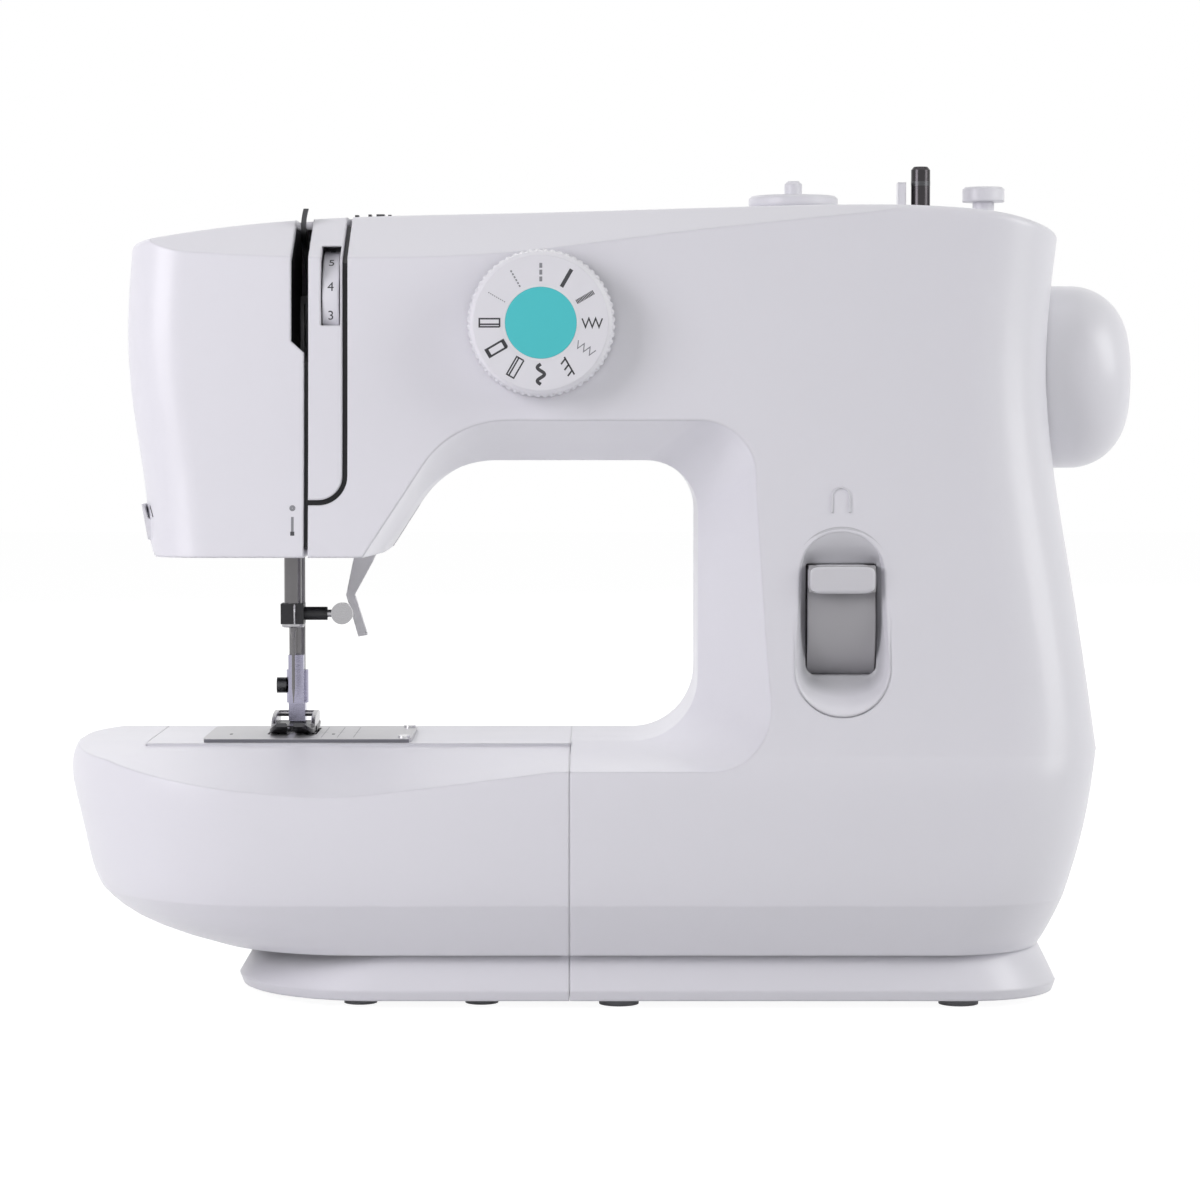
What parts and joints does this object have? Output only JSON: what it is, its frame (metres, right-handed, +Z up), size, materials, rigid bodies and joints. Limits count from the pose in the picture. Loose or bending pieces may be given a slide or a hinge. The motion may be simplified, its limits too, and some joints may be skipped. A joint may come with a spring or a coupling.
{
  "type": "sewing machine",
  "caption": "Domestic free-arm sewing machine with pattern dial, reverse lever, handwheel, needle and presser bars, hook, feed and a slip-off accessory tray.",
  "frame": {"origin": "on the table under the middle of the bounding box", "axes": "+X from the head towards the handwheel, +Y from the dial side to the back, +Z up"},
  "size_m": [0.3289, 0.1426, 0.255],
  "materials": {
    "white": "satin gloss",
    "liner": "matt",
    "grey": "satin",
    "black": "satin",
    "cast": "as cast",
    "steel": "ground",
    "chrome": "polished",
    "belt": "matt",
    "rubber": "matt",
    "brass": "turned",
    "motor": "satin",
    "lens": "clear",
    "teal": "satin gloss"
  },
  "bodies": {
    "machine": {"face_cover": "white", "front_cover": "white", "rear_cover": "white", "slot_liner": "liner", "free_arm": "white", "base_pan": "grey", "main_frame": "cast", "frame_pins": "steel", "tension_discs": "chrome", "hook_race": "steel", "bobbin_case": "steel", "motor": "motor", "drive_belt": "belt", "timing_belt": "belt", "needle_plate": "steel", "plate_screws": "chrome", "spool_seat": "white", "winder_stop": "white", "power_panel": "black", "lamp": "lens", "thread_cutter": "black", "thread_guide": "chrome", "base_feet": "rubber", "presser_spring": "steel"},
    "tray": {"accessory_tray": "white", "tray_feet": "rubber"},
    "upper_shaft": {"main_shaft": "steel", "handwheel": "white", "drive_wheels": "black", "crank_disc": "steel"},
    "lower_shaft": {"lower_shaft": "steel", "lower_pulley": "black"},
    "motor_rotor": {"motor_shaft": "steel"},
    "needle_carrier": {"needle_bar_frame": "cast"},
    "needle_bar": {"needle_bar": "chrome", "needle": "chrome", "needle_clamp": "black"},
    "clamp_screw": {"clamp_screw": "chrome"},
    "needle_link": {"needle_bar_link": "steel"},
    "take_up": {"take_up_lever": "chrome"},
    "presser": {"presser_bar": "chrome", "presser_bracket": "steel", "foot_holder": "grey", "foot_screw": "steel"},
    "foot": {"presser_foot": "chrome"},
    "lifter": {"presser_lifter": "grey"},
    "tension": {"tension_dial": "white"},
    "pattern": {"pattern_dial": "teal", "pattern_cam": "grey"},
    "reverse": {"reverse_lever": "grey"},
    "hook": {"shuttle_hook": "steel"},
    "bobbin": {"bobbin": "lens"},
    "door": {"bobbin_door": "white"},
    "feed": {"feed_bar": "steel", "feed_dog": "steel"},
    "spool": {"spool_pin": "white"},
    "winder": {"winder_arm": "steel"},
    "winder_spindle": {"winder_spindle": "chrome"},
    "switch": {"switch_rocker": "black"}
  },
  "joints": [
    {"name": "tray_slide", "type": "slide", "parent": "machine", "child": "tray", "axis": [-1, 0, 0], "range_m": [0, 0.2]},
    {"name": "handwheel_turn", "type": "hinge", "parent": "machine", "child": "upper_shaft", "pos_m": [0, 0, 0.189], "axis": [1, 0, 0], "continuous": true},
    {"name": "lower_shaft_turn", "type": "hinge", "parent": "machine", "child": "lower_shaft", "pos_m": [0, 0, 0.04], "axis": [1, 0, 0], "continuous": true},
    {"name": "motor_turn", "type": "hinge", "parent": "machine", "child": "motor_rotor", "pos_m": [0, -0.03, 0.042], "axis": [1, 0, 0], "continuous": true},
    {"name": "needle_zigzag", "type": "hinge", "parent": "machine", "child": "needle_carrier", "pos_m": [-0.0966, 0.015, 0.208], "axis": [0, 1, 0], "range_deg": [-1.08, 1.08]},
    {"name": "needle_bar_slide", "type": "slide", "parent": "needle_carrier", "child": "needle_bar", "axis": [0, 0, 1], "range_m": [-0.026, 0]},
    {"name": "clamp_screw_turn", "type": "hinge", "parent": "needle_bar", "child": "clamp_screw", "pos_m": [-0.086, 0, 0.1148], "axis": [1, 0, 0], "range_deg": [-180, 180]},
    {"name": "needle_link_swing", "type": "hinge", "parent": "needle_bar", "child": "needle_link", "pos_m": [-0.0866, 0, 0.168], "axis": [1, 0, 0], "range_deg": [-12, 12]},
    {"name": "take_up_swing", "type": "hinge", "parent": "machine", "child": "take_up", "pos_m": [-0.0902, 0.008, 0.214], "axis": [1, 0, 0], "range_deg": [0, 55]},
    {"name": "presser_lift", "type": "slide", "parent": "machine", "child": "presser", "axis": [0, 0, 1], "range_m": [0, 0.005], "deforming": ["presser_spring"]},
    {"name": "foot_tilt", "type": "hinge", "parent": "presser", "child": "foot", "pos_m": [-0.0966, 0.015, 0.082], "axis": [-1, 0, 0], "range_deg": [0, 8]},
    {"name": "lifter_turn", "type": "hinge", "parent": "machine", "child": "lifter", "pos_m": [-0.07, 0.0324, 0.15], "axis": [0, -1, 0], "range_deg": [0, 50]},
    {"name": "tension_turn", "type": "hinge", "parent": "machine", "child": "tension", "pos_m": [-0.0807, -0.033, 0.2115], "axis": [1, 0, 0], "range_deg": [-150, 150]},
    {"name": "pattern_turn", "type": "hinge", "parent": "machine", "child": "pattern", "pos_m": [-0.0175, -0.03, 0.2045], "axis": [0, 1, 0], "continuous": true},
    {"name": "reverse_press", "type": "hinge", "parent": "machine", "child": "reverse", "pos_m": [0.0723, -0.031, 0.116], "axis": [1, 0, 0], "range_deg": [0, 28], "stiffness_Nm_per_rad": 0.3, "springref_deg": -17.19},
    {"name": "hook_swing", "type": "hinge", "parent": "machine", "child": "hook", "pos_m": [-0.0966, 0, 0.05], "axis": [0, 1, 0], "range_deg": [-100, 100]},
    {"name": "bobbin_spin", "type": "hinge", "parent": "machine", "child": "bobbin", "pos_m": [-0.0966, -0.012, 0.05], "axis": [0, 1, 0], "continuous": true},
    {"name": "door_swing", "type": "hinge", "parent": "machine", "child": "door", "pos_m": [-0.0966, -0.02275, 0.036], "axis": [1, 0, 0], "range_deg": [0, 85]},
    {"name": "feed_slide", "type": "slide", "parent": "machine", "child": "feed", "axis": [0, 1, 0], "range_m": [-0.002, 0.002]},
    {"name": "spool_slide", "type": "slide", "parent": "machine", "child": "spool", "axis": [0, 0, 1], "range_m": [0, 0.027]},
    {"name": "winder_swing", "type": "hinge", "parent": "machine", "child": "winder", "pos_m": [0.1008, 0.028, 0.223], "axis": [0, 0, 1], "range_deg": [0, 8]},
    {"name": "winder_spin", "type": "hinge", "parent": "winder", "child": "winder_spindle", "pos_m": [0.1008, 0.006, 0.223], "axis": [0, 0, 1], "continuous": true},
    {"name": "switch_rock", "type": "hinge", "parent": "machine", "child": "switch", "pos_m": [0.1391, -0.014, 0.05], "axis": [0, 1, 0], "range_deg": [-8, 8]}
  ],
  "couplings": [
    {"joint": "lower_shaft_turn", "follows": "handwheel_turn", "ratio": 1},
    {"joint": "motor_turn", "follows": "handwheel_turn", "ratio": 5.3333},
    {"joint": "lifter_turn", "follows": "presser_lift", "rad_per_m": 174.53}
  ]
}
